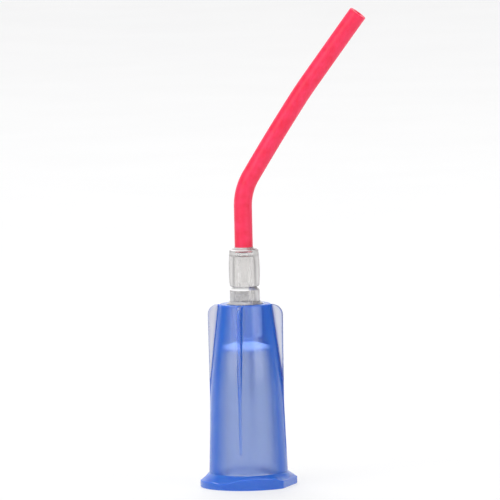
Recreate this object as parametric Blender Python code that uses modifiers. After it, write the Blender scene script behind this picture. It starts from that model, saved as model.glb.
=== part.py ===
"""Luer-lock dispensing tip with a pre-bent cannula.

A blue moulded hub with four thin wings carries a clear two-piece collar, and a thin transfer tube runs
from the hub's bore through the collar to a pink cannula.

Frame: metres. The origin is the centre of the hub's Luer socket mouth, on the plane that the flange
stands on. +Z runs up the hub's axis, and the cannula leans towards +X and a little towards -Y.
"""

import math

import bmesh
import bpy
from mathutils import Matrix, Vector

MM = 0.001
DEGREE = math.radians(1.0)

COLLECTION = "dispensing_tip"
TOOLS = "cutters"

# Clearance between two pieces that touch, and how far a cutter runs past what it cuts
GAP = 0.02 * MM
OVERRUN = 0.5 * MM

# Hub barrel: two cones that meet in a soft curve
HUB_HEIGHT = 14.6 * MM
RIM_RADIUS = 2.07 * MM
RIM_ROUND = 0.12 * MM
UPPER_SLOPE = 0.128
LOWER_RADIUS = 3.195 * MM
LOWER_SLOPE = 0.038
WAIST_SOFTNESS = 0.05 * MM
BARREL_ROWS = 14

# Hub flange: the lug diameter of a Luer lock, with two flats and two helical lugs
FLANGE_RADIUS = 3.91 * MM
FLANGE_EDGE_HEIGHT = 0.66 * MM
FLANGE_ROOT_HEIGHT = 1.07 * MM
FLANGE_CHAMFER = 0.08 * MM
FLAT_MIDDLE = -18.5 * DEGREE
FLAT_HALF_ANGLE = 26.5 * DEGREE
FLAT_CUTTER_SIZE = 6.0 * MM
LUG_START = 229.0 * DEGREE
LUG_END = 308.0 * DEGREE
LUG_HEIGHT = 0.90 * MM
LUG_RISE = 0.06 * MM
LUG_CROWN = 0.12 * MM
LUG_OVERLAP = 0.3 * MM
LUG_LEAD_IN = 30.0 * DEGREE
LUG_LEAD_SLOPE = 9.0 * DEGREE
LUG_CUTTER_SIZE = 4.0 * MM

# Hub wings: four thin radial blades
WING_TURN = -11.0 * DEGREE
WING_THICKNESS = 0.28 * MM
WING_FOOT = 1.6 * MM
WING_MERGE = 2.9 * MM
WING_WAIST = 6.8 * MM
WING_FOOT_RADIUS = 3.0 * MM
WING_MERGE_RADIUS = 3.12 * MM
WING_WAIST_RADIUS = 3.0 * MM
WING_RADIUS = 3.05 * MM
WING_TOP = 14.55 * MM
WING_CORNER = 0.85 * MM

# Hub bore: a 6 % Luer socket, a shallow cone, a throat and a seat for the transfer tube
SOCKET_MOUTH_RADIUS = 2.15 * MM
SOCKET_TAPER = 0.06
SOCKET_DEPTH = 10.9 * MM
SOCKET_CONE_TOP = 11.55 * MM
THROAT_RADIUS = 0.38 * MM
TUBE_SEAT = 11.9 * MM

# Transfer tube
TUBE_RADIUS = 0.86 * MM
TUBE_BORE_RADIUS = 0.35 * MM
TUBE_TOP = 18.4 * MM

# Collar: a seat ring below and a sleeve above
RING_RADIUS = 1.19 * MM
RING_TOP = 15.98 * MM
RING_CHAMFER = 0.28 * MM
RING_FOOT_CHAMFER = 0.05 * MM
SLEEVE_TOP = 18.95 * MM
SLEEVE_FOOT_RADIUS = 1.18 * MM
SLEEVE_BELLY_RADIUS = 1.24 * MM
SLEEVE_RIM_RADIUS = 1.15 * MM
SLEEVE_BELLY = 17.2 * MM
SLEEVE_FOOT_CHAMFER = 0.07 * MM
SLEEVE_RIM_CHAMFER = 0.06 * MM
SLEEVE_ROWS = 7
CANNULA_SEAT = 18.68 * MM

# Cannula: a straight foot, a tight bend, then long stretches that each turn a little
CANNULA_RADIUS = 0.725 * MM
CANNULA_BORE_RADIUS = 0.35 * MM
CANNULA_FOOT = CANNULA_SEAT + GAP
CANNULA_TURN = -8.0 * DEGREE
CANNULA_STRETCHES = (
    # length, turn, steps
    (3.66 * MM, 0.0, 3),
    (2.56 * MM, 31.4 * DEGREE, 10),
    (7.15 * MM, 2.2 * DEGREE, 5),
    (1.69 * MM, 2.7 * DEGREE, 3),
    (6.84 * MM, 0.4 * DEGREE, 4),
)

# Adhesive beads
NECK_BEAD_HEIGHT = 0.22 * MM
NECK_BEAD_WIDTH = 0.26 * MM
FOOT_BEAD_HEIGHT = 0.16 * MM
FOOT_BEAD_WIDTH = 0.22 * MM
BEAD_HOLLOW = 0.92

# Facets round each kind of turned piece, and along and round the cannula
HUB_STEPS = 64
COLLAR_STEPS = 32
TUBE_STEPS = 24
CANNULA_RESOLUTION = 6
LUG_STEPS = 14
BEAD_STEPS = 5
CORNER_STEPS = 6

# Materials: colour, roughness, metallic
HUB_FINISH = ((0.10, 0.22, 0.62, 1.0), 0.25, 0.0)
CLEAR_FINISH = ((0.80, 0.78, 0.76, 1.0), 0.08, 0.0)
TUBE_FINISH = ((0.72, 0.70, 0.69, 1.0), 0.12, 0.0)
CANNULA_FINISH = ((0.93, 0.05, 0.14, 1.0), 0.45, 0.0)
ADHESIVE_FINISH = ((0.85, 0.80, 0.80, 1.0), 0.10, 0.0)


def clear_scene():
    for obj in list(bpy.data.objects):
        bpy.data.objects.remove(obj, do_unlink=True)


def collection(name):
    made = bpy.data.collections.new(name)
    bpy.context.scene.collection.children.link(made)
    return made


def material(name, finish):
    colour, roughness, metallic = finish
    made = bpy.data.materials.new(name)
    made.use_nodes = True
    shader = made.node_tree.nodes["Principled BSDF"]
    shader.inputs["Base Color"].default_value = colour
    shader.inputs["Roughness"].default_value = roughness
    shader.inputs["Metallic"].default_value = metallic
    return made


def link(obj, where):
    bpy.data.collections[where].objects.link(obj)
    if where == TOOLS:
        obj.hide_render = True
        obj.display_type = "WIRE"
    return obj


def turned(name, profile, steps, where, closed=True, angle=2 * math.pi, rise=0.0):
    """Turn (radius, height) points, which run down the outer side, about Z."""
    mesh = bpy.data.meshes.new(name)
    points = [(radius, 0.0, height) for radius, height in profile]
    edges = [(i, i + 1) for i in range(len(points) - 1)]
    if closed:
        edges.append((len(points) - 1, 0))
    mesh.from_pydata(points, edges, [])
    obj = link(bpy.data.objects.new(name, mesh), where)
    screw = obj.modifiers.new("Turn", "SCREW")
    screw.axis = "Z"
    screw.angle = angle
    screw.screw_offset = rise
    screw.steps = steps
    screw.render_steps = steps
    screw.use_merge_vertices = angle == 2 * math.pi
    screw.merge_threshold = 0.001 * MM
    return obj


def cutter_block(name, size):
    """A cube among the cutters."""
    bpy.ops.mesh.primitive_cube_add(size=size)
    obj = bpy.context.object
    obj.name = name
    for holder in list(obj.users_collection):
        holder.objects.unlink(obj)
    return link(obj, TOOLS)


def evaluated_mesh(obj):
    """The object's shape with its modifiers or its curve bevel applied, as a plain mesh."""
    bpy.context.view_layer.update()
    graph = bpy.context.evaluated_depsgraph_get()
    return bpy.data.meshes.new_from_object(obj.evaluated_get(graph))


def as_mesh(obj, close_holes=False):
    """Replace a curve or a modified object by one with its evaluated mesh, welded shut."""
    name, where, matrix = obj.name, obj.users_collection[0].name, obj.matrix_world.copy()
    mesh = evaluated_mesh(obj)
    bpy.data.objects.remove(obj, do_unlink=True)
    work = bmesh.new()
    work.from_mesh(mesh)
    bmesh.ops.remove_doubles(work, verts=work.verts, dist=0.001 * MM)
    if close_holes:
        bmesh.ops.holes_fill(work, edges=work.edges, sides=0)
        bmesh.ops.recalc_face_normals(work, faces=work.faces)
    work.to_mesh(mesh)
    work.free()
    mesh.name = name
    made = link(bpy.data.objects.new(name, mesh), where)
    made.matrix_world = matrix
    return made


def combine(obj, other, operation):
    boolean = obj.modifiers.new(f"{operation.title()} {other.name}", "BOOLEAN")
    boolean.operation = operation
    boolean.solver = "EXACT"
    boolean.object = other


def finish(obj, look):
    """Settle the modifiers, shade the round faces smooth and give the piece its material."""
    obj = as_mesh(obj)
    obj.data.shade_smooth()
    obj.data.set_sharp_from_angle(angle=30 * DEGREE)
    obj.data.materials.clear()
    obj.data.materials.append(look)
    return obj


def arc(centre, radius, start, end, steps):
    """Points round a centre in the (radius, height) plane, both ends included."""
    return [
        (
            centre[0] + radius * math.cos(start + (end - start) * i / steps),
            centre[1] + radius * math.sin(start + (end - start) * i / steps),
        )
        for i in range(steps + 1)
    ]


def barrel_radius(height):
    """The barrel's outer radius: the lesser of two cones, blended softly where they meet."""
    lower = LOWER_RADIUS - LOWER_SLOPE * height
    upper = RIM_RADIUS + UPPER_SLOPE * (HUB_HEIGHT - height)
    spread = math.hypot(upper - lower, 2 * WAIST_SOFTNESS)
    return (upper + lower - spread) / 2


def hub_outline():
    """The hub's outer side from the axis at the top down to the axis at the base."""
    shoulder = HUB_HEIGHT - RIM_ROUND
    rim_centre = (barrel_radius(shoulder) - RIM_ROUND, shoulder)
    rim = arc(rim_centre, RIM_ROUND, math.pi / 2, 0.0, 4)
    heights = [
        shoulder - (shoulder - FLANGE_ROOT_HEIGHT) * i / BARREL_ROWS for i in range(1, BARREL_ROWS + 1)
    ]
    barrel = [(barrel_radius(height), height) for height in heights]
    flange = [
        (FLANGE_RADIUS, FLANGE_EDGE_HEIGHT),
        (FLANGE_RADIUS, FLANGE_CHAMFER),
        (FLANGE_RADIUS - FLANGE_CHAMFER, 0.0),
    ]
    return [(0.0, HUB_HEIGHT)] + rim + barrel + flange + [(0.0, 0.0)]


def wing_blade(name, turn):
    """A flat blade through the axis that makes two opposite wings."""
    corner_centre = (WING_RADIUS - WING_CORNER, WING_TOP - WING_CORNER)
    side = [
        (WING_FOOT_RADIUS, WING_FOOT),
        (WING_MERGE_RADIUS, WING_MERGE),
        (WING_WAIST_RADIUS, WING_WAIST),
    ] + arc(corner_centre, WING_CORNER, 0.0, math.pi / 2, CORNER_STEPS)
    outline = side + [(-radius, height) for radius, height in reversed(side)]
    curve = bpy.data.curves.new(name, "CURVE")
    curve.dimensions = "2D"
    curve.fill_mode = "BOTH"
    curve.extrude = WING_THICKNESS / 2
    spline = curve.splines.new("POLY")
    spline.points.add(len(outline) - 1)
    for point, (radius, height) in zip(spline.points, outline):
        point.co = (radius, height, 0.0, 1.0)
    spline.use_cyclic_u = True
    obj = link(bpy.data.objects.new(name, curve), TOOLS)
    obj.matrix_world = Matrix.Rotation(turn, 4, "Z") @ Matrix.Rotation(math.pi / 2, 4, "X")
    return as_mesh(obj)


def lug(name, start):
    """A helical lug on the flange's rim, with a sloped lead-in at its low end."""
    inner = barrel_radius(FLANGE_ROOT_HEIGHT) - LUG_OVERLAP
    section = [
        (FLANGE_RADIUS, LUG_HEIGHT),
        (FLANGE_RADIUS, FLANGE_CHAMFER),
        (inner, FLANGE_CHAMFER),
        (inner, LUG_HEIGHT + LUG_CROWN),
    ]
    span = LUG_END - LUG_START
    body = turned(name, section, LUG_STEPS, TOOLS, angle=span, rise=LUG_RISE)
    body = as_mesh(body, close_holes=True)
    # The sloped face passes through the lug's top where the lead-in ends.
    slope = cutter_block(f"{name}_lead_in", LUG_CUTTER_SIZE)
    hinge = Matrix.Rotation(LUG_LEAD_IN, 4, "Z") @ Matrix.Translation((FLANGE_RADIUS, 0.0, LUG_HEIGHT))
    tilt = Matrix.Rotation(LUG_LEAD_SLOPE, 4, "X")
    middle = LUG_CUTTER_SIZE / 2
    block = Matrix.Translation((0.0, -middle, middle))
    slope.matrix_world = hinge @ tilt @ block
    combine(body, slope, "DIFFERENCE")
    body = as_mesh(body)
    body.matrix_world = Matrix.Rotation(start, 4, "Z")
    return body


def flat_cutter(name, middle):
    """A block whose inner face cuts one flat on the flange."""
    distance = FLANGE_RADIUS * math.cos(FLAT_HALF_ANGLE) + FLAT_CUTTER_SIZE / 2
    obj = cutter_block(name, FLAT_CUTTER_SIZE)
    obj.matrix_world = Matrix.Rotation(middle, 4, "Z") @ Matrix.Translation((distance, 0.0, 0.0))
    return obj


def bore_cutter():
    """The hub's bore: Luer socket, cone, throat and transfer tube seat."""
    mouth = SOCKET_MOUTH_RADIUS + SOCKET_TAPER / 2 * OVERRUN
    end = SOCKET_MOUTH_RADIUS - SOCKET_TAPER / 2 * SOCKET_DEPTH
    profile = [
        (0.0, HUB_HEIGHT + OVERRUN),
        (TUBE_RADIUS + GAP, HUB_HEIGHT + OVERRUN),
        (TUBE_RADIUS + GAP, TUBE_SEAT),
        (THROAT_RADIUS, TUBE_SEAT),
        (THROAT_RADIUS, SOCKET_CONE_TOP),
        (end, SOCKET_DEPTH),
        (mouth, -OVERRUN),
        (0.0, -OVERRUN),
    ]
    return turned("bore", profile, HUB_STEPS, TOOLS, closed=False)


def luer_hub(look):
    hub = turned("luer_hub", hub_outline(), HUB_STEPS, COLLECTION, closed=False)
    for side, turn in (("x", WING_TURN), ("y", WING_TURN + math.pi / 2)):
        combine(hub, wing_blade(f"blade_{side}", turn), "UNION")
    for side, turn in (("front", 0.0), ("back", math.pi)):
        combine(hub, lug(f"lug_{side}", LUG_START + turn), "UNION")
    for side, turn in (("right", 0.0), ("left", math.pi)):
        combine(hub, flat_cutter(f"flat_{side}", FLAT_MIDDLE + turn), "DIFFERENCE")
    combine(hub, bore_cutter(), "DIFFERENCE")
    return finish(hub, look)


def transfer_tube(look):
    foot = TUBE_SEAT + GAP
    profile = [
        (TUBE_RADIUS, TUBE_TOP),
        (TUBE_RADIUS, foot),
        (TUBE_BORE_RADIUS, foot),
        (TUBE_BORE_RADIUS, TUBE_TOP),
    ]
    return finish(turned("transfer_tube", profile, TUBE_STEPS, COLLECTION), look)


def seat_ring(look):
    """The collar's lower ring, with a wide chamfer round its top."""
    foot = HUB_HEIGHT + GAP
    bore = TUBE_RADIUS + GAP
    profile = [
        (RING_RADIUS - RING_CHAMFER, RING_TOP),
        (RING_RADIUS, RING_TOP - RING_CHAMFER),
        (RING_RADIUS, foot + RING_FOOT_CHAMFER),
        (RING_RADIUS - RING_FOOT_CHAMFER, foot),
        (bore, foot),
        (bore, RING_TOP),
    ]
    return finish(turned("seat_ring", profile, COLLAR_STEPS, COLLECTION), look)


def sleeve_radius(height):
    """A slight belly: a parabola from the belly to the foot, and another from it to the rim."""
    if height > SLEEVE_BELLY:
        share = (height - SLEEVE_BELLY) / (SLEEVE_TOP - SLEEVE_BELLY)
        return SLEEVE_BELLY_RADIUS - (SLEEVE_BELLY_RADIUS - SLEEVE_RIM_RADIUS) * share**2
    share = (SLEEVE_BELLY - height) / (SLEEVE_BELLY - RING_TOP)
    return SLEEVE_BELLY_RADIUS - (SLEEVE_BELLY_RADIUS - SLEEVE_FOOT_RADIUS) * share**2


def clear_sleeve(look):
    """The collar's sleeve: it takes the transfer tube from below and the cannula's foot from above."""
    foot = RING_TOP + GAP
    low = foot + SLEEVE_FOOT_CHAMFER
    high = SLEEVE_TOP - SLEEVE_RIM_CHAMFER
    heights = [high + (low - high) * i / SLEEVE_ROWS for i in range(SLEEVE_ROWS + 1)]
    tube_hole = TUBE_RADIUS + GAP
    cannula_hole = CANNULA_RADIUS + GAP
    profile = (
        [(SLEEVE_RIM_RADIUS - SLEEVE_RIM_CHAMFER, SLEEVE_TOP)]
        + [(sleeve_radius(height), height) for height in heights]
        + [
            (SLEEVE_FOOT_RADIUS - SLEEVE_FOOT_CHAMFER, foot),
            (tube_hole, foot),
            (tube_hole, TUBE_TOP + GAP),
            (CANNULA_BORE_RADIUS, TUBE_TOP + GAP),
            (CANNULA_BORE_RADIUS, CANNULA_SEAT),
            (cannula_hole, CANNULA_SEAT),
            (cannula_hole, SLEEVE_TOP),
        ]
    )
    return finish(turned("clear_sleeve", profile, COLLAR_STEPS, COLLECTION), look)


def cannula_route(overrun):
    """Points along the cannula's centre line in its upright plane, each end carried on by overrun."""
    lean = Vector((math.cos(CANNULA_TURN), math.sin(CANNULA_TURN), 0.0))
    up = Vector((0.0, 0.0, 1.0))
    heading = 0.0
    point = Vector((0.0, 0.0, CANNULA_FOOT - overrun))
    points = [point.copy()]
    stretches = [(overrun, 0.0, 1)] + list(CANNULA_STRETCHES) + [(overrun, 0.0, 1)]
    for length, turn, steps in stretches:
        if length == 0.0:
            continue
        for _ in range(steps):
            middle = heading + turn / steps / 2
            point = point + (lean * math.sin(middle) + up * math.cos(middle)) * (length / steps)
            heading += turn / steps
            points.append(point)
    return points


def swept(name, points, radius, where):
    """A round bar along the points, with closed ends."""
    curve = bpy.data.curves.new(name, "CURVE")
    curve.dimensions = "3D"
    curve.bevel_depth = radius
    curve.bevel_resolution = CANNULA_RESOLUTION
    curve.use_fill_caps = True
    spline = curve.splines.new("POLY")
    spline.points.add(len(points) - 1)
    for knot, point in zip(spline.points, points):
        knot.co = (*point, 1.0)
    return as_mesh(link(bpy.data.objects.new(name, curve), where))


def bent_cannula(look):
    cannula = swept("bent_cannula", cannula_route(0.0), CANNULA_RADIUS, COLLECTION)
    bore = swept("cannula_bore", cannula_route(OVERRUN), CANNULA_BORE_RADIUS, TOOLS)
    combine(cannula, bore, "DIFFERENCE")
    return finish(cannula, look)


def bead(name, inner, foot, width, height, look):
    """A fillet of adhesive: flat below, upright against the piece it holds, hollow outside."""
    centre = (inner + width, foot + height)
    turns = [math.pi / 2 * i / BEAD_STEPS for i in range(BEAD_STEPS + 1)]
    hollow = [
        (
            centre[0] - width * math.cos(turn) * BEAD_HOLLOW,
            centre[1] - height * math.sin(turn) * BEAD_HOLLOW,
        )
        for turn in turns
    ]
    profile = [(inner, foot + height)] + hollow + [(inner + width, foot), (inner, foot)]
    return finish(turned(name, profile, COLLAR_STEPS, COLLECTION), look)


def main():
    clear_scene()
    collection(COLLECTION)
    collection(TOOLS)
    clear = material("clear_plastic", CLEAR_FINISH)
    adhesive = material("clear_adhesive", ADHESIVE_FINISH)
    luer_hub(material("blue_plastic", HUB_FINISH))
    transfer_tube(material("tube_plastic", TUBE_FINISH))
    seat_ring(clear)
    clear_sleeve(clear)
    bent_cannula(material("pink_plastic", CANNULA_FINISH))
    bead("neck_bead", RING_RADIUS + GAP, HUB_HEIGHT + GAP, NECK_BEAD_WIDTH, NECK_BEAD_HEIGHT, adhesive)
    bead("foot_bead", CANNULA_RADIUS + GAP, SLEEVE_TOP + GAP, FOOT_BEAD_WIDTH, FOOT_BEAD_HEIGHT, adhesive)


main()
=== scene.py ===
"""Looks of the Luer-lock dispensing tip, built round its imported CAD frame.

Fine meshes replace the faceted CAD nodes, each in its node's place. Lengths are metres. The hub's axis is
the frame's Z axis, and the cannula leans towards +X and a little towards -Y.
"""

import math

import bpy
from mathutils import Matrix, Vector


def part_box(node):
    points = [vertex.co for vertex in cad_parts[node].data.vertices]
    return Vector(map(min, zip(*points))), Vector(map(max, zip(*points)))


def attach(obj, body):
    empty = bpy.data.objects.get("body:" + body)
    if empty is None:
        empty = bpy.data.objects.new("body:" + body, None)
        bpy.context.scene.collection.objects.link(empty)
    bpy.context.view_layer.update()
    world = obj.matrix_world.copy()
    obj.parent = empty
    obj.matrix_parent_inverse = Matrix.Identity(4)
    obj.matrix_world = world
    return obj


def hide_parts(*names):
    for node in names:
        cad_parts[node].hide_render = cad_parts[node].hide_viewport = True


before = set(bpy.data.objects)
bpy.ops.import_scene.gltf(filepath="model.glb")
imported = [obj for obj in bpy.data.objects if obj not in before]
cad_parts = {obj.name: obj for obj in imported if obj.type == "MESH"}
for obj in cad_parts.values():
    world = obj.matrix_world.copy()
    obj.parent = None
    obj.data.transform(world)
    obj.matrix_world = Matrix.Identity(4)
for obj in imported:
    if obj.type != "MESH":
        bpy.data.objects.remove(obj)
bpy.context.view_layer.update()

BODY = "root"

MM = 0.001
DEGREE = math.radians(1.0)
QUARTER = math.pi / 2

# Places read from the frame
_, HUB_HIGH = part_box("luer_hub")
RING_LOW, RING_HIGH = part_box("seat_ring")
SLEEVE_LOW, SLEEVE_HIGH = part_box("clear_sleeve")
TUBE_LOW, TUBE_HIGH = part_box("transfer_tube")
CANNULA_LOW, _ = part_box("bent_cannula")
NECK_BEAD_LOW, NECK_BEAD_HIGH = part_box("neck_bead")
FOOT_BEAD_LOW, FOOT_BEAD_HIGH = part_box("foot_bead")

# Hub barrel: two cones that meet in a soft curve
HUB_HEIGHT = HUB_HIGH.z
RIM_RADIUS = 2.07 * MM
RIM_ROUND = 0.12 * MM
UPPER_SLOPE = 0.128
LOWER_RADIUS = 3.195 * MM
LOWER_SLOPE = 0.038
WAIST_SOFTNESS = 0.05 * MM

# Hub flange, with two flats and two helical lugs
FLANGE_RADIUS = 3.905 * MM
FLANGE_ROOT_HEIGHT = 1.07 * MM
FLANGE_ROUND = 0.09 * MM
FLANGE_FILLET = 0.12 * MM
FLANGE_SLOPE_DROP = 0.02 * MM
FLAT_MIDDLE = -18.5 * DEGREE
FLAT_HALF_ANGLE = 26.5 * DEGREE
FLAT_REACH = 80.0 * DEGREE
LUG_START = 218.0 * DEGREE
LUG_END = 95.0 * DEGREE
LUG_EDGE = (
    # angle past the start, height of the flange's upper edge
    (0.0, 0.62 * MM),
    (13.0 * DEGREE, 0.50 * MM),
    (47.0 * DEGREE, 0.90 * MM),
    (64.0 * DEGREE, 0.97 * MM),
    (84.0 * DEGREE, 0.90 * MM),
    (LUG_END, 0.66 * MM),
    (180.0 * DEGREE, 0.62 * MM),
)

# Hub wings
WING_TURN = -11.0 * DEGREE
WING_TIP_HALF = 0.09 * MM
WING_ROOT_HALF = 0.11 * MM
WING_THICKENING = 0.0085
WING_THIN_HEIGHT = 7.0 * MM
WING_TIP_ROUND = 0.07 * MM
WING_FILLET = 0.14 * MM
WING_STATIONS = (
    # height, radius
    (1.6 * MM, 3.0 * MM),
    (2.9 * MM, 3.12 * MM),
    (6.8 * MM, 3.0 * MM),
    (13.7 * MM, 3.05 * MM),
)
WING_TOP = 14.55 * MM
WING_CORNER = 0.85 * MM

# Hub bore
BORE_ROUND = 0.04 * MM
MOUTH_ROUND = 0.06 * MM
SOCKET_MOUTH_RADIUS = 2.15 * MM
SOCKET_TAPER = 0.06
SOCKET_DEPTH = 10.9 * MM
SOCKET_CONE_TOP = 11.55 * MM
THROAT_RADIUS = 0.38 * MM
SEAT_RADIUS = 0.88 * MM
SEAT_FLOOR = 11.9 * MM

# Where the hub's zones fade in or out: how proud of the barrel, how short of a wing's tip, or how high
WING_PROUD = (0.05 * MM, 0.15 * MM)
WING_HEIGHTS = (1.6 * MM, 2.4 * MM)
TIP_SHORT = (0.01 * MM, 0.1 * MM)
ROOT_RISE = (0.0, 0.06 * MM)
ROOT_FALL = (0.1 * MM, 0.2 * MM)
FLANGE_HEIGHTS = (0.85 * MM, 1.1 * MM)
UPPER_HEIGHTS = (10.0 * MM, 12.5 * MM)
FADE_HEIGHTS = (3.0 * MM, 9.0 * MM)
CONE_FADE = 0.1 * MM
RIM_MARGIN = 0.01 * MM

# How milky and how matt each zone of the hub is
HUB_ZONES = ("wall", "milk", "matt", "fin", "pale", "foot")
FIN_EDGE_ON = 1.15
FIN_MILK = -0.3
TIP_EDGE_ON = -0.9
TIP_MILK = 0.85
LOW_WING_SHARE = 0.15
ROOT_MILK = 0.3
UPPER_MILK = 0.2
FLANGE_MILK = 0.95
BORE_MILK = 0.04
# The socket's end is made milky, pale and glowing: a painted highlight and painted glow for light carried
# there, weaker in the tube's seat
CONE_MILK = 0.9
SEAT_PAINTED_GLOW = 0.5
OUTER_MATT = 0.12
FIN_MATT = 0.16
BORE_MATT = 0.26

# Transfer tube, ring and sleeve
TUBE_RADIUS = 0.86 * MM
TUBE_BORE_RADIUS = 0.35 * MM
RING_CHAMFER = 0.28 * MM
SLEEVE_BELLY = 17.2 * MM
SLEEVE_RIM_RADIUS = 1.15 * MM
SLEEVE_FOOT_RADIUS = 1.18 * MM
SLEEVE_FOOT_CHAMFER = 0.07 * MM
CANNULA_SEAT = 18.68 * MM
CANNULA_HOLE_RADIUS = 0.745 * MM
TUBE_END_ROUND = 0.04 * MM
RING_FOOT_CHAMFER = 0.05 * MM
RING_EDGE_ROUND = 0.06 * MM
SLEEVE_RIM_ROUND = 0.07 * MM
SLEEVE_EDGE_ROUND = 0.05 * MM
STEP_GAP = 0.02 * MM

# Adhesive beads
NECK_BEAD_INNER = 1.21 * MM
BEAD_HOLLOW = 0.92
BEAD_STEPS = 12

# Skin of the clear pieces, and the white painted highlight on their rims and beads, which leaves out the side
# between these two fades where the highlight breaks
SKIN_DEPTHS = (0.005 * MM, 0.05 * MM)
PAINTED_HIGHLIGHT_FADE = 0.02 * MM
RING_HIGHLIGHT_DROP = 0.02 * MM
SLEEVE_HIGHLIGHT_DROP = 0.04 * MM
HIGHLIGHT_BREAK_START = (-80.0 * DEGREE, -62.0 * DEGREE)
HIGHLIGHT_BREAK_END = (20.0 * DEGREE, 60.0 * DEGREE)
NECK_PAINTED_HIGHLIGHT = 0.3
FOOT_PAINTED_HIGHLIGHT = 0.45

# Cannula
CANNULA_RADIUS = 0.725 * MM
CANNULA_BORE_RADIUS = 0.35 * MM
CANNULA_TURN = -8.0 * DEGREE
CANNULA_STRETCHES = (
    # length, turn
    (3.66 * MM, 0.0),
    (2.56 * MM, 31.4 * DEGREE),
    (7.15 * MM, 2.2 * DEGREE),
    (1.69 * MM, 2.7 * DEGREE),
    (6.84 * MM, 0.4 * DEGREE),
)
UP = Vector((0.0, 0.0, 1.0))
CANNULA_LEAN = Vector((math.cos(CANNULA_TURN), math.sin(CANNULA_TURN), 0.0))
CANNULA_STEP = 0.12 * MM
CANNULA_END_ROUND = 0.05 * MM

# The plastics' colours, and how strong the socket's painted glow, the clear pieces' white painted highlight
# and the absorption are
BARREL_TINT = (0.94, 0.955, 1.0)
FIN_TINT = (0.80, 0.79, 0.83)
MILKY_DARK = (0.012, 0.13, 0.58)
MILKY_LIGHT = (0.026, 0.158, 0.65)
# Painted highlight colour and painted glow at the socket's end
SOCKET_PAINTED_LIGHT = (0.42, 0.60, 0.93)
SOCKET_PAINTED_GLOW = (0.52, 0.63, 0.88, 1.0)
SOCKET_PAINTED_GLOW_STRENGTH = 1.3
FOOT_CLEAR_INSIDE = 0.6
HUB_ABSORPTION = (0.50, 0.70, 0.98)
HUB_DENSITY = 400.0
CLEAR_TINT = (0.985, 0.98, 0.975, 1.0)
HAZE_LIGHT = (0.80, 0.775, 0.76)
# The light haze colour is the plastic's own. The grey towards the edges and the dark of the bore's edge-on
# lines are painted shade
HAZE_PAINTED_EDGE_SHADE = (0.40, 0.38, 0.38)
BORE_PAINTED_SHADE = (0.10, 0.09, 0.09)
# White painted highlight on the clear pieces' rims, chamfer and beads, and how much of it shows
PAINTED_HIGHLIGHT_WHITE = (0.96, 0.96, 0.96)
PAINTED_HIGHLIGHT_SHARE = 0.85
CLEAR_ABSORPTION = (0.55, 0.52, 0.50)
PINK_DARK = (0.88, 0.014, 0.068)
PINK_LIGHT = (0.97, 0.034, 0.125)
PINK_SPREAD = (0.32, 0.70)

# Depths of the fine surface grain
SKIN_BUMP = 0.002 * MM
PINK_BUMP = 0.006 * MM

# Stage: the room is grey in front and turns white between these shares of the way to its back
WORLD_GREY = (0.36, 0.36, 0.37)
WORLD_WHITE = (1.1, 1.1, 1.1)
WORLD_SPREAD = (0.5, 0.85)
FLOOR_SIZE = 4.0
FLOOR_GREY = (0.3, 0.3, 0.3, 1.0)
FLOOR_GLOW = 0.58

# Lights, with places and sizes in metres
LIGHTS_AIM = (0.0, 0.0, 0.018)
SUN_DIRECTION = (-0.35, -0.25, 1.0)
SUN_STRENGTH = 1.1
SKY_SPREAD = 50.0 * DEGREE
AREA_LIGHTS = (
    # name, place, size, power
    ("top_back", (-0.05, 0.24, 0.43), (0.24, 0.2), 0.7),
    ("front_left", (-0.62, -0.58, 0.3), (0.5, 0.45), 1.7),
    ("front_right", (0.6, -0.6, 0.3), (0.5, 0.45), 1.9),
    ("edge_strip", (-0.1, -0.35, 0.52), (0.2, 0.04), 0.3),
)

# Camera
CAMERA_DISTANCE = 0.7
CAMERA_PITCH = 5.5 * DEGREE
CAMERA_ROLL = 1.25 * DEGREE
CAMERA_AIM = (0.00049, 0.0, 0.01887)
CAMERA_LENS = 632.4
CAMERA_SENSOR = 36.0
CAMERA_CLIP = (0.01, 10.0)

# Mesh fineness, how much of an edge a rounded corner takes up at most, and the least turn that is rounded
COLUMNS = 96
SIDE_COLUMNS = 24
WING_MARGIN = 9.5 * DEGREE
CORNER_SPACING = 0.8 * DEGREE
LEAST_SPACING = 0.7 * DEGREE
EDGE_STEPS = 4
FILLET_STEPS = 5
CORNER_REACH = 0.45
LEAST_TURN = 20.0 * DEGREE
CANNULA_COLUMNS = 64
BARREL_STEPS = 64
SOCKET_STEPS = 20
NORMAL_WEIGHT = 80


# ---------------------------------------------------------------- meshes


def mesh_from_rows(name, rows):
    """A closed piece from rows of points: each row is a ring, and the last row joins the first."""
    count = len(rows[0])
    verts = [point for row in rows for point in row]
    faces = []
    for i in range(len(rows)):
        below = i * count
        above = (i + 1) % len(rows) * count
        for j in range(count):
            k = (j + 1) % count
            faces.append((below + j, below + k, above + k, above + j))
    mesh = bpy.data.meshes.new(name)
    mesh.from_pydata(verts, [], faces)
    mesh.shade_smooth()
    piece = bpy.data.objects.new(name, mesh)
    bpy.context.scene.collection.objects.link(piece)
    weighted = piece.modifiers.new("Weighted normals", "WEIGHTED_NORMAL")
    weighted.weight = NORMAL_WEIGHT
    return piece


def lathe(name, profile):
    """A closed loop of (radius, height) points turned about Z; the loop runs up the outer side."""
    turns = [2 * math.pi * j / COLUMNS for j in range(COLUMNS)]
    rows = []
    for radius, height in profile:
        rows.append([(radius * math.cos(turn), radius * math.sin(turn), height) for turn in turns])
    return mesh_from_rows(name, rows)


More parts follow.
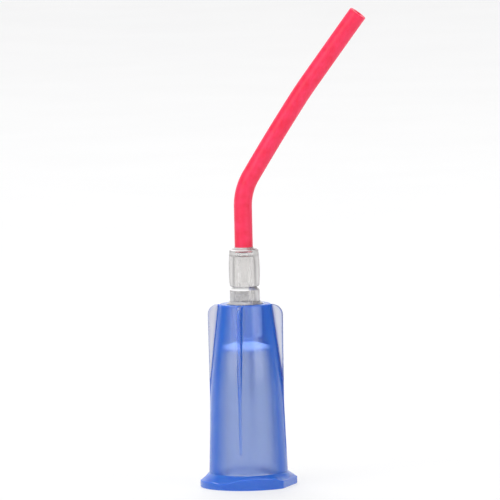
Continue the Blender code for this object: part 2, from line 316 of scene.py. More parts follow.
def softened(profile, radius):
    """The same closed loop with each corner sharper than LEAST_TURN rounded."""
    points = [Vector(point) for point in profile]
    rounded = []
    for i, corner in enumerate(points):
        back = points[i - 1] - corner
        ahead = points[(i + 1) % len(points)] - corner
        if math.pi - back.angle(ahead) < LEAST_TURN:
            rounded.append(tuple(corner))
            continue
        reach = min(radius, back.length * CORNER_REACH, ahead.length * CORNER_REACH)
        start = corner + back.normalized() * reach
        end = corner + ahead.normalized() * reach
        for step in range(EDGE_STEPS + 1):
            t = step / EDGE_STEPS
            rounded.append(tuple(start * (1 - t) ** 2 + corner * 2 * t * (1 - t) + end * t**2))
    return rounded


def spread(start, end, steps):
    """Evenly spaced values from start to end, without start."""
    return [start + (end - start) * i / steps for i in range(1, steps + 1)]


def quarter_turns():
    """The angles of the points round a rounded edge, from 0 to a quarter turn."""
    return [0.0] + spread(0.0, QUARTER, EDGE_STEPS)


def smooth_step(value, low, high):
    """0 below low, 1 above high, and an S-curve between."""
    share = min(max((value - low) / (high - low), 0.0), 1.0)
    return share * share * (3 - 2 * share)


# ---------------------------------------------------------------- hub


def barrel_radius(height):
    """The barrel's outer radius, with the rim's rounding above its shoulder."""
    shoulder = HUB_HEIGHT - RIM_ROUND
    level = min(height, shoulder)
    lower = LOWER_RADIUS - LOWER_SLOPE * level
    upper = RIM_RADIUS + UPPER_SLOPE * (HUB_HEIGHT - level)
    radius = (upper + lower - math.hypot(upper - lower, 2 * WAIST_SOFTNESS)) / 2
    over = min(max(height - shoulder, 0.0), RIM_ROUND)
    return radius - RIM_ROUND + math.sqrt(RIM_ROUND**2 - over**2)


def wing_radius(height):
    """The wings' outer radius at a height, or 0 above and below them."""
    if not WING_STATIONS[0][0] <= height <= WING_TOP:
        return 0.0
    corner = WING_TOP - WING_CORNER
    if height > corner:
        over = min(height - corner, WING_CORNER)
        return WING_STATIONS[-1][1] - WING_CORNER + math.sqrt(WING_CORNER**2 - over**2)
    for (low, inner), (high, outer) in zip(WING_STATIONS, WING_STATIONS[1:]):
        if height <= high:
            share = (height - low) / (high - low)
            return inner + (outer - inner) * share
    return WING_STATIONS[-1][1]


def wing_half(barrel, wing, height):
    """Half a wing's section, tip first, as (distance along the wing, offset from its middle)."""
    proud = max(wing - barrel, 0.0)
    tip_round = min(WING_TIP_ROUND, 0.4 * proud)
    rise = min(WING_FILLET, 0.5 * proud)
    thicker = WING_THICKENING * max(height - WING_THIN_HEIGHT, 0.0)
    tip, root = WING_TIP_HALF + thicker, WING_ROOT_HALF + thicker
    outline = []
    for turn in quarter_turns():
        outline.append((proud - tip_round * (1 - math.cos(turn)), tip * math.sin(turn)))
    for share in spread(0.0, 1.0, 3):
        outline.append(((proud - tip_round) * (1 - share) + rise * share, tip + (root - tip) * share))
    for turn in spread(0.0, QUARTER, FILLET_STEPS):
        outline.append((rise * (1 - math.sin(turn)), root + WING_FILLET * (1 - math.cos(turn))))
    return [(math.sqrt(barrel**2 - offset**2) + reach, offset) for reach, offset in outline]


def plain_angles():
    """The angles of the columns between the wings, crowded at the flange's corners."""
    margin = WING_MARGIN
    special = []
    for turn in (0.0, math.pi):
        for corner in (FLAT_MIDDLE - FLAT_HALF_ANGLE, FLAT_MIDDLE + FLAT_HALF_ANGLE):
            special += [corner + turn - CORNER_SPACING, corner + turn, corner + turn + CORNER_SPACING]
    groups = []
    for k in range(4):
        wing = WING_TURN + k * QUARTER
        angles = [wing + margin] + spread(wing + margin, wing + QUARTER - margin, SIDE_COLUMNS)
        for angle in special:
            near = (angle - wing) % (2 * math.pi)
            if margin < near < QUARTER - margin:
                angles = [a for a in angles if abs(a - wing - near) > LEAST_SPACING]
                angles.append(wing + near)
        groups.append(sorted(angles))
    return groups


PLAIN_ANGLES = plain_angles()


def hub_section(barrel, wing, height):
    """One row of the hub: four wings and the barrel between them."""
    half = wing_half(barrel, wing, height)
    sides = [(u, -v) for u, v in reversed(half[1:])] + half
    row = []
    for k in range(4):
        turn = WING_TURN + k * QUARTER
        across, along = math.cos(turn), math.sin(turn)
        row += [(u * across - v * along, u * along + v * across, height) for u, v in sides]
        row += [(barrel * math.cos(a), barrel * math.sin(a), height) for a in PLAIN_ANGLES[k]]
    return row


def column_angles():
    """Each column's angle where the barrel meets the flange."""
    row = hub_section(barrel_radius(FLANGE_ROOT_HEIGHT), 0.0, 0.0)
    return [math.atan2(y, x) for x, y, _ in row]


COLUMN_ANGLES = column_angles()


def ring_row(radius, height):
    """One row whose radius and height are numbers or functions of the angle."""
    row = []
    for angle in COLUMN_ANGLES:
        r = radius(angle) if callable(radius) else radius
        z = height(angle) if callable(height) else height
        row.append((r * math.cos(angle), r * math.sin(angle), z))
    return row


def flange_radius(angle):
    """The flange's outline: a circle with two flats."""
    away = (angle - FLAT_MIDDLE + QUARTER) % math.pi - QUARTER
    flat = FLANGE_RADIUS * math.cos(FLAT_HALF_ANGLE) / math.cos(away)
    return min(FLANGE_RADIUS, flat) if abs(away) < FLAT_REACH else FLANGE_RADIUS


def flange_edge(angle):
    """The height of the flange's upper edge: it dips, then climbs along each lug."""
    past = (angle - LUG_START) % math.pi
    for (low, start), (high, end) in zip(LUG_EDGE, LUG_EDGE[1:]):
        if past <= high:
            return start + (end - start) * smooth_step(past, low, high)
    return LUG_EDGE[-1][1]


def flange_rows():
    """From the socket's mouth out under the flange, up its side and in to the barrel's foot."""
    rows = [ring_row(SOCKET_MOUTH_RADIUS + MOUTH_ROUND, 0.0)]
    rows.append(ring_row(SOCKET_MOUTH_RADIUS + 2 * MOUTH_ROUND, 0.0))
    rows.append(ring_row(lambda a: flange_radius(a) - 2 * FLANGE_ROUND, 0.0))
    for turn in quarter_turns():
        inset, height = FLANGE_ROUND * (1 - math.sin(turn)), FLANGE_ROUND * (1 - math.cos(turn))
        rows.append(ring_row(lambda a, inset=inset: flange_radius(a) - inset, height))
    for share in (0.1, 0.5, 0.9):
        rows.append(
            ring_row(
                flange_radius,
                lambda a, share=share: FLANGE_ROUND + (flange_edge(a) - 2 * FLANGE_ROUND) * share,
            )
        )
    for turn in quarter_turns():
        inset, drop = FLANGE_ROUND * (1 - math.cos(turn)), FLANGE_ROUND * (1 - math.sin(turn))
        rows.append(
            ring_row(
                lambda a, inset=inset: flange_radius(a) - inset, lambda a, drop=drop: flange_edge(a) - drop
            )
        )
    foot = barrel_radius(FLANGE_ROOT_HEIGHT) + FLANGE_FILLET
    for share in (0.08, 0.35, 0.65, 0.92, 1.0):
        rows.append(
            ring_row(
                lambda a, s=share: (flange_radius(a) - FLANGE_ROUND) * (1 - s) + foot * s,
                lambda a, s=share: flange_edge(a) * (1 - s) + (FLANGE_ROOT_HEIGHT - FLANGE_SLOPE_DROP) * s,
            )
        )
    return rows


def barrel_heights():
    """Row heights up the barrel, crowded where the wings' top corners curve."""
    heights = spread(FLANGE_ROOT_HEIGHT + FLANGE_FILLET, WING_TOP - WING_CORNER, BARREL_STEPS)
    corner = WING_TOP - WING_CORNER
    heights += [corner + WING_CORNER * math.sin(turn) for turn in spread(0.0, QUARTER, 14)]
    return heights


def barrel_rows():
    """From the barrel's foot up its side, along the wings and over the rim."""
    rows = []
    for turn in spread(0.0, QUARTER, FILLET_STEPS)[:-1]:
        inset = FLANGE_FILLET * (1 - math.sin(turn))
        height = FLANGE_ROOT_HEIGHT + FLANGE_FILLET * (1 - math.cos(turn))
        rows.append(hub_section(barrel_radius(height) + inset, 0.0, height))
    heights = [FLANGE_ROOT_HEIGHT + FLANGE_FILLET] + barrel_heights()
    for height in heights:
        rows.append(hub_section(barrel_radius(height), wing_radius(height), height))
    rows.append(hub_section(barrel_radius(WING_TOP), 0.0, WING_TOP))
    reached = math.asin((WING_TOP - HUB_HEIGHT + RIM_ROUND) / RIM_ROUND)
    for turn in spread(reached, QUARTER, 4):
        height = HUB_HEIGHT - RIM_ROUND + RIM_ROUND * math.sin(turn)
        rows.append(hub_section(barrel_radius(height), 0.0, height))
    return rows


def bore_rows():
    """From the rim in, down the tube's seat, the throat, the cone and the Luer socket."""
    end = SOCKET_MOUTH_RADIUS - SOCKET_TAPER / 2 * SOCKET_DEPTH
    soft = BORE_ROUND
    rim = barrel_radius(HUB_HEIGHT)
    profile = [(rim - soft, HUB_HEIGHT), (SEAT_RADIUS + 3 * soft, HUB_HEIGHT)]
    profile += [(SEAT_RADIUS + soft, HUB_HEIGHT), (SEAT_RADIUS, HUB_HEIGHT - soft)]
    profile += [(SEAT_RADIUS, z) for z in spread(HUB_HEIGHT - soft, SEAT_FLOOR + soft, 6)]
    profile += [(SEAT_RADIUS - soft / 2, SEAT_FLOOR), (THROAT_RADIUS + soft / 2, SEAT_FLOOR)]
    profile += [(THROAT_RADIUS, SEAT_FLOOR - soft), (THROAT_RADIUS, SOCKET_CONE_TOP + soft)]
    profile += [(THROAT_RADIUS + soft, SOCKET_CONE_TOP - soft / 3)]
    cone_drop = SOCKET_CONE_TOP - SOCKET_DEPTH
    for share in (0.3, 0.6, 0.9):
        radius = THROAT_RADIUS + (end - THROAT_RADIUS) * share
        profile.append((radius, SOCKET_CONE_TOP - cone_drop * share))
    for turn in spread(0.0, QUARTER, 4):
        radius = end - 2 * soft * (1 - math.sin(turn))
        profile.append((radius, SOCKET_DEPTH + 1.2 * soft - 2 * soft * (1 - math.cos(turn))))
    for height in spread(SOCKET_DEPTH - 2 * soft, soft, SOCKET_STEPS):
        share = 1 - height / SOCKET_DEPTH
        profile.append((end + (SOCKET_MOUTH_RADIUS - end) * share, height))
    return [ring_row(radius, height) for radius, height in profile]


def write_zones(piece, names, zones):
    """Store one point attribute per name from each point's tuple of values."""
    for name, values in zip(names, zip(*zones)):
        piece.data.attributes.new(name, "FLOAT", "POINT").data.foreach_set("value", values)


def outer_zones(height, radius):
    """The zone values of a point on the hub's outside."""
    proud = radius - barrel_radius(height)
    short = wing_radius(height) - radius
    wing = smooth_step(proud, *WING_PROUD) * smooth_step(height, *WING_HEIGHTS)
    tip = wing * (1 - smooth_step(short, *TIP_SHORT))
    fin = wing * (1 - tip)
    root = smooth_step(proud, *ROOT_RISE) * (1 - smooth_step(proud, *ROOT_FALL))
    flange = 1 - smooth_step(height, *FLANGE_HEIGHTS)
    upper = smooth_step(height, *UPPER_HEIGHTS)
    strength = LOW_WING_SHARE + (1 - LOW_WING_SHARE) * smooth_step(height, *FADE_HEIGHTS)
    wall = (1 - wing) * (1 - flange) + FIN_EDGE_ON * strength * fin + TIP_EDGE_ON * tip
    milk = FIN_MILK * strength * fin + TIP_MILK * strength * tip
    milk += ROOT_MILK * root + UPPER_MILK * upper * (1 - wing)
    return wall, milk, OUTER_MATT + FIN_MATT * fin, wing, 0.0, FLANGE_MILK * flange


def bore_zones(height):
    """The zone values of a point in the hub's bore."""
    # The socket's end, and more weakly the throat and the tube's seat above it, get the painted highlight
    # colour and painted glow
    pale = smooth_step(height, SOCKET_DEPTH, SOCKET_DEPTH + CONE_FADE)
    if height >= SOCKET_CONE_TOP:
        pale *= SEAT_PAINTED_GLOW
    return 0.0, BORE_MILK + CONE_MILK * pale, BORE_MATT, 0.0, pale, 0.0


def mark_zones(piece, outer_count):
    """Point attributes for the plastic's look, in the order of HUB_ZONES.

    wall is how milky the plastic turns where it is edge-on, and milk is how milky it is from any side.
    matt is how rough it is. fin marks the wings. pale marks the socket's end and, more weakly, the tube's
    seat, where a painted highlight colour and a painted glow stand in for light carried there. foot is how
    milky the flange is.
    """
    zones = []
    for i, vertex in enumerate(piece.data.vertices):
        height = vertex.co.z
        if i < outer_count or height > HUB_HEIGHT - RIM_MARGIN:
            zones.append(outer_zones(height, vertex.co.to_2d().length))
        else:
            zones.append(bore_zones(height))
    write_zones(piece, HUB_ZONES, zones)


def build_hub():
    """The hub as one closed skin: its flange, its barrel with the wings, and its bore."""
    rows = flange_rows() + barrel_rows() + bore_rows()
    piece = mesh_from_rows("hub_moulding", rows)
    outer_rows = len(flange_rows()) + len(barrel_rows())
    mark_zones(piece, outer_rows * len(rows[0]))
    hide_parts("luer_hub")
    return piece


# ---------------------------------------------------------------- collar and beads


def mark_skin(piece, bore, highlight_height, highlight_share=1.0):
    """Point attributes of a clear piece.

    skin is 1 outside the bore. The other attribute is a white painted highlight at the given share above the
    given height, but 0 on the side where the highlight breaks.
    """
    zones = []
    for vertex in piece.data.vertices:
        radius = vertex.co.to_2d().length
        angle = math.atan2(vertex.co.y, vertex.co.x)
        # The painted highlight is left out towards the front right, where the highlight breaks
        clear = smooth_step(angle, *HIGHLIGHT_BREAK_START) * (1 - smooth_step(angle, *HIGHLIGHT_BREAK_END))
        above = smooth_step(vertex.co.z, highlight_height - PAINTED_HIGHLIGHT_FADE, highlight_height)
        skin = smooth_step(radius, bore + SKIN_DEPTHS[0], bore + SKIN_DEPTHS[1])
        zones.append((skin, (1 - clear) * highlight_share * above))
    write_zones(piece, ("skin", "painted_highlight"), zones)


def build_transfer_tube():
    """The clear tube that carries liquid from the hub's throat up into the sleeve."""
    low, high = TUBE_LOW.z, TUBE_HIGH.z
    profile = [(TUBE_BORE_RADIUS, low), (TUBE_RADIUS, low), (TUBE_RADIUS, high), (TUBE_BORE_RADIUS, high)]
    piece = lathe("transfer_tube_fine", softened(profile, TUBE_END_ROUND))
    mark_skin(piece, 0.0, high + MM)
    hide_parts("transfer_tube")
    return piece


def build_ring():
    """The clear ring on the hub's rim, with a chamfered upper edge."""
    low, high = RING_LOW.z, RING_HIGH.z
    radius = RING_HIGH.x
    profile = [
        (SEAT_RADIUS, low),
        (radius - RING_FOOT_CHAMFER, low),
        (radius, low + RING_FOOT_CHAMFER),
        (radius, high - RING_CHAMFER),
        (radius - RING_CHAMFER, high),
        (SEAT_RADIUS, high),
    ]
    piece = lathe("seat_ring_fine", softened(profile, RING_EDGE_ROUND))
    # White painted highlight on the chamfer
    mark_skin(piece, SEAT_RADIUS, high - RING_CHAMFER + RING_HIGHLIGHT_DROP)
    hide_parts("seat_ring")
    return piece


def sleeve_radius(height):
    """A slight belly: a parabola down to the foot and another up to the rim."""
    belly = SLEEVE_HIGH.x
    if height > SLEEVE_BELLY:
        share = (height - SLEEVE_BELLY) / (SLEEVE_HIGH.z - SLEEVE_BELLY)
        return belly - (belly - SLEEVE_RIM_RADIUS) * share**2
    share = (SLEEVE_BELLY - height) / (SLEEVE_BELLY - SLEEVE_LOW.z)
    return belly - (belly - SLEEVE_FOOT_RADIUS) * share**2


def build_sleeve():
    """The clear sleeve that holds the cannula above and the transfer tube below."""
    low, high = SLEEVE_LOW.z, SLEEVE_HIGH.z
    step_height = TUBE_HIGH.z + STEP_GAP
    outer = [(SLEEVE_FOOT_RADIUS - SLEEVE_FOOT_CHAMFER, low)]
    outer.append((SLEEVE_FOOT_RADIUS, low + SLEEVE_FOOT_CHAMFER))
    outer += [(sleeve_radius(z), z) for z in spread(low + SLEEVE_FOOT_CHAMFER, high - SLEEVE_RIM_ROUND, 16)]
    outer.append((SLEEVE_RIM_RADIUS - SLEEVE_RIM_ROUND, high))
    inner = [
        (CANNULA_HOLE_RADIUS, high),
        (CANNULA_HOLE_RADIUS, CANNULA_SEAT),
        (CANNULA_BORE_RADIUS, CANNULA_SEAT),
        (CANNULA_BORE_RADIUS, step_height),
        (SEAT_RADIUS, step_height),
        (SEAT_RADIUS, low),
    ]
    piece = lathe("clear_sleeve_fine", softened(outer + inner, SLEEVE_EDGE_ROUND))
    # White painted highlight on the rim
    mark_skin(piece, SEAT_RADIUS, high - SLEEVE_HIGHLIGHT_DROP)
    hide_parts("clear_sleeve")
    return piece


def build_bead(name, node, low, high, inner, highlight_share):
    """A hollow fillet of adhesive between an upright wall and a flat rim."""
    width = high.x - inner
    height = high.z - low.z
    hollow = []
    for i in range(BEAD_STEPS + 1):
        turn = QUARTER * i / BEAD_STEPS
        radius = inner + width * (1 - BEAD_HOLLOW * math.sin(turn))
        hollow.append((radius, low.z + height * (1 - BEAD_HOLLOW * math.cos(turn))))
    profile = [(inner, low.z), (inner + width, low.z)] + hollow + [(inner, high.z)]
    piece = lathe(name, profile)
    # White painted highlight all over the bead, except where the highlight breaks
    mark_skin(piece, 0.0, low.z - MM, highlight_share)
    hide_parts(node)
    return piece


# ---------------------------------------------------------------- cannula


def cannula_route():
    """(point, heading) pairs along the cannula's centre line, which stays in one upright plane."""
    heading = 0.0
    point = Vector((0.0, 0.0, CANNULA_LOW.z))
    route = [(point.copy(), heading)]
    for length, turn in CANNULA_STRETCHES:
        steps = max(round(length / CANNULA_STEP), 1)
        for _ in range(steps):
            middle = heading + turn / steps / 2
            point = point + (CANNULA_LEAN * math.sin(middle) + UP * math.cos(middle)) * (length / steps)
            heading += turn / steps
            route.append((point.copy(), heading))
    return route


def cannula_ring(point, heading, radius, along=0.0):
    """A ring of points square to the heading, moved along it."""
    forward = CANNULA_LEAN * math.sin(heading) + UP * math.cos(heading)
    side = CANNULA_LEAN * math.cos(heading) - UP * math.sin(heading)
    across = UP.cross(CANNULA_LEAN)
    centre = point + forward * along
    ring = []
    for j in range(CANNULA_COLUMNS):
        turn = 2 * math.pi * j / CANNULA_COLUMNS
        ring.append(centre + (side * math.cos(turn) + across * math.sin(turn)) * radius)
    return ring


def build_cannula():
    """The bent pink cannula: its outside up to the tip, then its bore back down to the foot."""
    route = cannula_route()
    soft = CANNULA_END_ROUND
    first, last = route[0], route[-1]
    rows = []
    for turn in quarter_turns():
        inset = soft * (1 - math.sin(turn))
        rows.append(cannula_ring(*first, CANNULA_RADIUS - inset, soft * (1 - math.cos(turn))))
    rows += [cannula_ring(point, heading, CANNULA_RADIUS) for point, heading in route[1:-1]]
    for turn in quarter_turns():
        inset = soft * (1 - math.cos(turn))
        rows.append(cannula_ring(*last, CANNULA_RADIUS - inset, -soft * (1 - math.sin(turn))))
    for turn in quarter_turns():
        inset = soft * (1 - math.sin(turn))
        rows.append(cannula_ring(*last, CANNULA_BORE_RADIUS + inset, -soft * (1 - math.cos(turn))))
    rows += [cannula_ring(point, heading, CANNULA_BORE_RADIUS) for point, heading in reversed(route[1:-1])]
    for turn in quarter_turns():
        inset = soft * (1 - math.cos(turn))
        rows.append(cannula_ring(*first, CANNULA_BORE_RADIUS + inset, soft * (1 - math.sin(turn))))
    piece = mesh_from_rows("bent_cannula_fine", rows)
    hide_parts("bent_cannula")
    return piece


# ---------------------------------------------------------------- materials


def new_material(name, settings):
    """A material with one Principled shader and these socket values."""
    made = bpy.data.materials.new(name)
    made.use_nodes = True
    shader = made.node_tree.nodes["Principled BSDF"]
    for socket, value in settings.items():
        shader.inputs[socket].default_value = value
    return made, made.node_tree, shader


def noise(tree, scale, detail=3.0):
    """A noise texture in the piece's own coordinates, with scale in features per metre."""
    place = tree.nodes.new("ShaderNodeTexCoord")
    texture = tree.nodes.new("ShaderNodeTexNoise")
    texture.inputs["Scale"].default_value = scale
    texture.inputs["Detail"].default_value = detail
    tree.links.new(place.outputs["Object"], texture.inputs["Vector"])
    return texture.outputs["Fac"]


def ranged(tree, source, low, high, start=0.3, end=0.7):
    """The source's values from start to end spread over low to high."""
    node = tree.nodes.new("ShaderNodeMapRange")
    node.inputs["From Min"].default_value = start
    node.inputs["From Max"].default_value = end
    node.inputs["To Min"].default_value = low
    node.inputs["To Max"].default_value = high
    tree.links.new(source, node.inputs["Value"])
    return node.outputs["Result"]


def add_bump(tree, shader, source, distance, strength):
    """A fine grain on a shader's surface."""
    bump = tree.nodes.new("ShaderNodeBump")
    bump.inputs["Distance"].default_value = distance
    bump.inputs["Strength"].default_value = strength
    tree.links.new(source, bump.inputs["Height"])
    tree.links.new(bump.outputs["Normal"], shader.inputs["Normal"])


def add_absorption(made, colour, density):
    """Tint light by how far it goes through the material."""
    tree = made.node_tree
    volume = tree.nodes.new("ShaderNodeVolumeAbsorption")
    volume.inputs["Color"].default_value = (*colour, 1.0)
    volume.inputs["Density"].default_value = density
    output = tree.nodes["Material Output"]
    tree.links.new(volume.outputs["Volume"], output.inputs["Volume"])


def blend(tree, mask, low, high, start=0.0, end=1.0):
    """A colour between two, by where a mask lies between start and end."""
    node = tree.nodes.new("ShaderNodeValToRGB")
    first, last = node.color_ramp.elements
    first.position, last.position = start, end
    first.color, last.color = (*low, 1.0), (*high, 1.0)
    tree.links.new(mask, node.inputs["Fac"])
    return node.outputs["Color"]


def zone(tree, name):
    """One of the piece's zone attributes."""
    node = tree.nodes.new("ShaderNodeAttribute")
    node.attribute_name = name
    return node.outputs["Fac"]


def combine(tree, operation, *values):
    """A math node on sockets or numbers."""
    node = tree.nodes.new("ShaderNodeMath")
    node.operation = operation
    for i, value in enumerate(values):
        if isinstance(value, (int, float)):
            node.inputs[i].default_value = value
        else:
            tree.links.new(value, node.inputs[i])
    return node.outputs["Value"]


def mix_colours(tree, share, low, high):
    """A colour between two sockets or colours."""
    node = tree.nodes.new("ShaderNodeMix")
    node.data_type = "RGBA"
    tree.links.new(share, node.inputs["Factor"])
    for name, value in (("A", low), ("B", high)):
        socket = [s for s in node.inputs if s.name == name and s.type == "RGBA"][0]
        if isinstance(value, tuple):
            socket.default_value = (*value, 1.0)
        else:
            tree.links.new(value, socket)
    return [s for s in node.outputs if s.type == "RGBA"][0]


def facing_away(tree):
    """0 where a surface faces the viewer and 1 where it is edge-on."""
    node = tree.nodes.new("ShaderNodeLayerWeight")
    node.inputs["Blend"].default_value = 0.5
    return node.outputs["Facing"]


def mix_shaders(made, share, first, second):
    """Show the first shader where share is 0 and the second where it is 1."""
    tree = made.node_tree
    mix = tree.nodes.new("ShaderNodeMixShader")
    tree.links.new(share, mix.inputs["Fac"])
    tree.links.new(first.outputs["BSDF"], mix.inputs[1])
    tree.links.new(second.outputs["BSDF"], mix.inputs[2])
    tree.links.new(mix.outputs["Shader"], tree.nodes["Material Output"].inputs["Surface"])


def milky_shader(tree):
    """Saturated blue that light soaks into, with a pale painted highlight colour and a painted glow at the
    socket's end for the light carried there.
    """
    milky = tree.nodes.new("ShaderNodeBsdfPrincipled")
    milky.inputs["IOR"].default_value = 1.49
    milky.inputs["Roughness"].default_value = 0.17
    milky.inputs["Subsurface Weight"].default_value = 1.0
    milky.inputs["Subsurface Radius"].default_value = (0.3, 0.6, 1.0)
    milky.inputs["Subsurface Scale"].default_value = 0.5 * MM
    milky.inputs["Emission Color"].default_value = SOCKET_PAINTED_GLOW
    cloud = blend(tree, noise(tree, 500.0), MILKY_DARK, MILKY_LIGHT)
    # Painted highlight colour and painted glow where the socket's end is marked
    colour = mix_colours(tree, zone(tree, "pale"), cloud, SOCKET_PAINTED_LIGHT)
    tree.links.new(colour, milky.inputs["Base Color"])
    glow = ranged(tree, zone(tree, "pale"), 0.0, SOCKET_PAINTED_GLOW_STRENGTH, start=0.0, end=1.0)
    tree.links.new(glow, milky.inputs["Emission Strength"])
    return milky


def milky_share(tree):
    """How milky the hub is: more where it is edge-on, and less in the flange seen from inside."""
    edge_on = ranged(tree, facing_away(tree), 0.32, 0.94, start=0.16, end=0.42)
    share = combine(tree, "MULTIPLY_ADD", edge_on, zone(tree, "wall"), zone(tree, "milk"))
    inside = tree.nodes.new("ShaderNodeNewGeometry").outputs["Backfacing"]
    foot_share = combine(tree, "MULTIPLY_ADD", inside, -FOOT_CLEAR_INSIDE, 1.0)
    return combine(tree, "MULTIPLY_ADD", zone(tree, "foot"), foot_share, share)


def blue_plastic():
    """Translucent polypropylene: clear and faintly tinted, milky where it is thick or seen edge-on."""
    settings = {"Transmission Weight": 1.0, "IOR": 1.49, "Coat Weight": 0.2, "Coat Roughness": 0.4}
    made, tree, clear = new_material("blue_polypropylene", settings)
    tint = blend(tree, zone(tree, "fin"), BARREL_TINT, FIN_TINT)
    tree.links.new(tint, clear.inputs["Base Color"])
    rough = combine(tree, "ADD", zone(tree, "matt"), ranged(tree, noise(tree, 1400.0), 0.0, 0.08))
    tree.links.new(rough, clear.inputs["Roughness"])
    add_bump(tree, clear, noise(tree, 1200.0, detail=2.0), SKIN_BUMP, strength=0.3)
    mix_shaders(made, milky_share(tree), clear, milky_shader(tree))
    add_absorption(made, HUB_ABSORPTION, HUB_DENSITY)
    return made


def cloudy_shader(tree, facing):
    """The haze, greying towards its edges as painted shade, dark in the bore as painted shade, and white
    where the painted highlight lies.
    """
    cloudy = tree.nodes.new("ShaderNodeBsdfPrincipled")
    cloudy.inputs["Roughness"].default_value = 0.25
    # The haze greys towards the edges as painted shade, and the bore is dark as painted shade
    skin = blend(tree, ranged(tree, facing, 0.0, 1.0, start=0.3, end=0.95), HAZE_LIGHT, HAZE_PAINTED_EDGE_SHADE)
    inner = mix_colours(tree, zone(tree, "skin"), BORE_PAINTED_SHADE, skin)
    colour = mix_colours(tree, zone(tree, "painted_highlight"), inner, PAINTED_HIGHLIGHT_WHITE)
    tree.links.new(colour, cloudy.inputs["Base Color"])
    return cloudy


def hazy_plastic(name, haze, edge_haze, density):
    """Clear plastic with a haze on its skin that greys towards its edges as painted shade, painted dark lines
    of shade where its bore is edge-on, and white painted highlights at its ends.
    """
    settings = {"Base Color": CLEAR_TINT, "Transmission Weight": 1.0, "IOR": 1.5}
    made, tree, clear = new_material(name, settings)
    tree.links.new(ranged(tree, noise(tree, 1800.0), 0.03, 0.08), clear.inputs["Roughness"])
    add_bump(tree, clear, noise(tree, 1500.0), SKIN_BUMP, strength=0.4)
    facing = facing_away(tree)
    outer_share = ranged(tree, facing, haze, edge_haze, start=0.0, end=0.9)
    # Dark painted shade lines where the bore is edge-on
    bore_share = ranged(tree, facing, 0.0, 0.9, start=0.45, end=0.85)
    bore_only = combine(tree, "SUBTRACT", 1.0, zone(tree, "skin"))
    share = combine(tree, "MULTIPLY", outer_share, zone(tree, "skin"))
    share = combine(tree, "MULTIPLY_ADD", bore_share, bore_only, share)
    share = combine(tree, "MULTIPLY_ADD", zone(tree, "painted_highlight"), PAINTED_HIGHLIGHT_SHARE, share)
    mix_shaders(made, share, clear, cloudy_shader(tree, facing))
    add_absorption(made, CLEAR_ABSORPTION, density)
    return made


def pink_plastic():
    """Soft pink plastic, faintly mottled and finely grained."""
    settings = {
        "IOR": 1.45,
        "Subsurface Weight": 0.35,
        "Subsurface Radius": (1.0, 0.25, 0.35),
        "Subsurface Scale": 0.25 * MM,
        "Coat Weight": 0.08,
        "Coat Roughness": 0.35,
    }
    made, tree, shader = new_material("pink_soft_plastic", settings)
    mottle = blend(tree, noise(tree, 1500.0, detail=4.0), PINK_DARK, PINK_LIGHT, *PINK_SPREAD)
    tree.links.new(mottle, shader.inputs["Base Color"])
    tree.links.new(ranged(tree, noise(tree, 3000.0), 0.36, 0.5), shader.inputs["Roughness"])
    add_bump(tree, shader, noise(tree, 4500.0), PINK_BUMP, strength=0.6)
    return made


# ---------------------------------------------------------------- stage, lights and camera


def floor_material():
    """A pale floor with a faint glow, so that it stays white under the lights."""
    settings = {
        "Base Color": FLOOR_GREY,
        "Emission Color": (1.0, 1.0, 1.0, 1.0),
        "Emission Strength": FLOOR_GLOW,
    }
    made, tree, shader = new_material("pale_floor", settings)
    tree.links.new(ranged(tree, noise(tree, 60.0), 0.66, 0.74), shader.inputs["Roughness"])
    return made


def build_floor():
    """A wide floor at the frame's zero height."""
    bpy.ops.mesh.primitive_plane_add(size=FLOOR_SIZE)
    floor = bpy.context.object
    floor.name = "floor"
    floor.data.materials.append(floor_material())


def area_light(name, place, size, power):
    """A rectangular light that shines on the object's middle."""
    data = bpy.data.lights.new(name, "AREA")
    data.shape = "RECTANGLE"
    data.size, data.size_y = size
    data.energy = power
    light = bpy.data.objects.new(name, data)
    light.location = place
    towards = Vector(LIGHTS_AIM) - Vector(place)
    light.rotation_euler = towards.to_track_quat("-Z", "Y").to_euler()
    bpy.context.scene.collection.objects.link(light)


def sun_light(name, direction, spread_angle, strength):
    """A soft light from far away, shining from the direction given."""
    data = bpy.data.lights.new(name, "SUN")
    data.angle = spread_angle
    data.energy = strength
    light = bpy.data.objects.new(name, data)
    light.rotation_euler = Vector(direction).to_track_quat("Z", "Y").to_euler()
    bpy.context.scene.collection.objects.link(light)


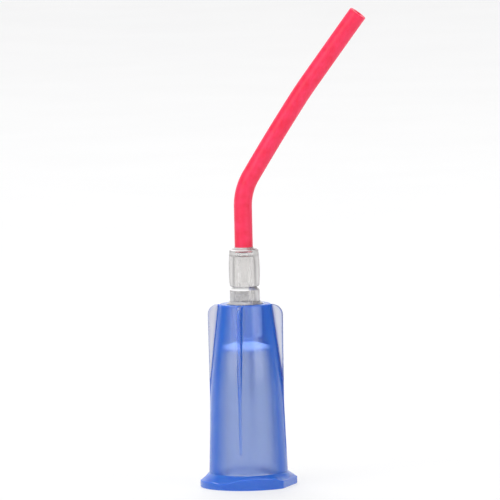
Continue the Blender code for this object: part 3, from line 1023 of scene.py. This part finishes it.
def build_world():
    """A grey studio room with a white backdrop on its +Y side."""
    world = bpy.data.worlds.new("studio")
    world.use_nodes = True
    tree = world.node_tree
    place = tree.nodes.new("ShaderNodeTexCoord")
    split = tree.nodes.new("ShaderNodeSeparateXYZ")
    tree.links.new(place.outputs["Generated"], split.inputs["Vector"])
    room = blend(tree, split.outputs["Y"], WORLD_GREY, WORLD_WHITE, *WORLD_SPREAD)
    tree.links.new(room, tree.nodes["Background"].inputs["Color"])
    bpy.context.scene.world = world


def build_lights():
    """The room, a broad light from overhead and four smaller ones."""
    build_world()
    sun_light("overhead", SUN_DIRECTION, SKY_SPREAD, SUN_STRENGTH)
    for name, place, size, power in AREA_LIGHTS:
        area_light(name, place, size, power)


def build_camera():
    """A long lens a little above the object's middle, rolled slightly."""
    data = bpy.data.cameras.new("camera")
    data.lens = CAMERA_LENS
    data.sensor_width = CAMERA_SENSOR
    data.clip_start, data.clip_end = CAMERA_CLIP
    camera = bpy.data.objects.new("camera", data)
    tilt = Matrix.Rotation(QUARTER - CAMERA_PITCH, 4, "X")
    back = Matrix.Translation((0.0, 0.0, CAMERA_DISTANCE))
    roll = Matrix.Rotation(-CAMERA_ROLL, 4, "Z")
    camera.matrix_world = Matrix.Translation(CAMERA_AIM) @ tilt @ back @ roll
    bpy.context.scene.collection.objects.link(camera)
    bpy.context.scene.camera = camera


def main():
    """Build the pieces with their materials on the one body, then the stage."""
    clear = hazy_plastic("clear_collar_plastic", haze=0.2, edge_haze=0.7, density=60.0)
    liner = hazy_plastic("clear_tube_plastic", haze=0.02, edge_haze=0.1, density=60.0)
    glue = hazy_plastic("clear_adhesive", haze=0.15, edge_haze=0.35, density=20.0)
    neck = (NECK_BEAD_LOW, NECK_BEAD_HIGH, NECK_BEAD_INNER, NECK_PAINTED_HIGHLIGHT)
    foot = (FOOT_BEAD_LOW, FOOT_BEAD_HIGH, CANNULA_HOLE_RADIUS, FOOT_PAINTED_HIGHLIGHT)
    parts = (
        (build_hub(), blue_plastic()),
        (build_transfer_tube(), liner),
        (build_ring(), clear),
        (build_sleeve(), clear),
        (build_cannula(), pink_plastic()),
        (build_bead("neck_bead_fine", "neck_bead", *neck), glue),
        (build_bead("foot_bead_fine", "foot_bead", *foot), glue),
    )
    for piece, material in parts:
        piece.data.materials.append(material)
        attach(piece, BODY)
    build_floor()
    build_lights()
    build_camera()
    bpy.context.scene.view_settings.view_transform = "Standard"


main()
